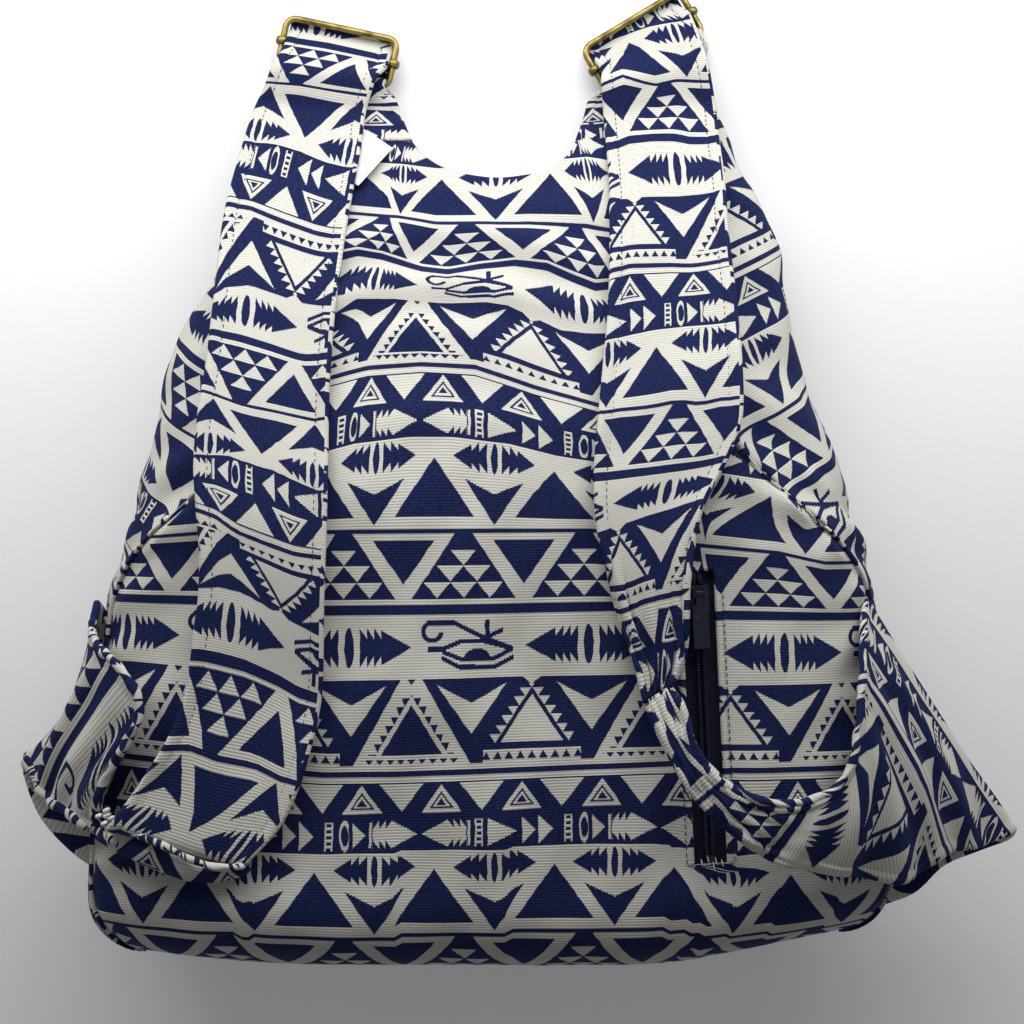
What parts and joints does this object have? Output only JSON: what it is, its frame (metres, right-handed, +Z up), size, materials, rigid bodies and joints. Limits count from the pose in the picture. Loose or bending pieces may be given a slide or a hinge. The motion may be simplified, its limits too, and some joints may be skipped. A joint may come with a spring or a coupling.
{
  "type": "fabric backpack",
  "caption": "Soft cloth backpack with a vest-shaped top, wide cloth straps on brass slider buckles, folded side tabs and a zip in its back panel.",
  "frame": {"origin": "on the floor under the middle of the bag's flat front, half-way between its bottom and its neckline", "axes": "+X to the right seen from the strap side, +Y towards the shoulders, +Z up from the front to the straps"},
  "size_m": [0.4688, 0.458, 0.1285],
  "materials": {
    "woven_cloth": "ribbed jacquard weave in navy and cream",
    "antique_brass": "antiqued, dark in the hollows",
    "zip_tape": "navy twill tape",
    "zip_coil": "navy nylon coil",
    "zip_metal": "navy enamel",
    "tag_card": "plain white card"
  },
  "bodies": {
    "bag": {"back_panel": "woven_cloth", "front_panel": "woven_cloth", "left_gusset": "woven_cloth", "right_gusset": "woven_cloth", "bottom_panel": "woven_cloth", "neckline_facing": "woven_cloth", "left_strap": "woven_cloth", "right_strap": "woven_cloth", "left_anchor_tab": "woven_cloth", "right_anchor_tab": "woven_cloth", "left_shoulder_loop": "woven_cloth", "right_shoulder_loop": "woven_cloth", "left_buckle_bar": "antique_brass", "right_buckle_bar": "antique_brass", "zip_tape_left": "zip_tape", "zip_tape_right": "zip_tape", "zip_coil_left": "zip_coil", "zip_coil_right": "zip_coil", "zip_top_stop_left": "zip_metal", "zip_top_stop_right": "zip_metal", "zip_bottom_stop": "zip_metal", "swing_tag": "tag_card"},
    "left_buckle": {"left_buckle_frame": "antique_brass"},
    "right_buckle": {"right_buckle_frame": "antique_brass"},
    "zip_slider": {"zip_slider": "zip_metal"},
    "zip_pull": {"zip_pull": "zip_metal"}
  },
  "joints": [
    {"name": "zip_slide", "type": "slide", "parent": "bag", "child": "zip_slider", "axis": [-0.0488, 0.9988, 0], "range_m": [-0.105, 0]},
    {"name": "zip_pull_hinge", "type": "hinge", "parent": "zip_slider", "child": "zip_pull", "pos_m": [0.09058, -0.01545, 0.11388], "axis": [-0.9956, -0.0487, 0.0796], "range_deg": [0, 120]},
    {"name": "left_buckle_slide", "type": "slide", "parent": "bag", "child": "left_buckle", "axis": [0.2079, 0.9781, 0], "range_m": [-0.004, 0]},
    {"name": "right_buckle_slide", "type": "slide", "parent": "bag", "child": "right_buckle", "axis": [-0.515, 0.8572, 0], "range_m": [-0.004, 0]}
  ]
}
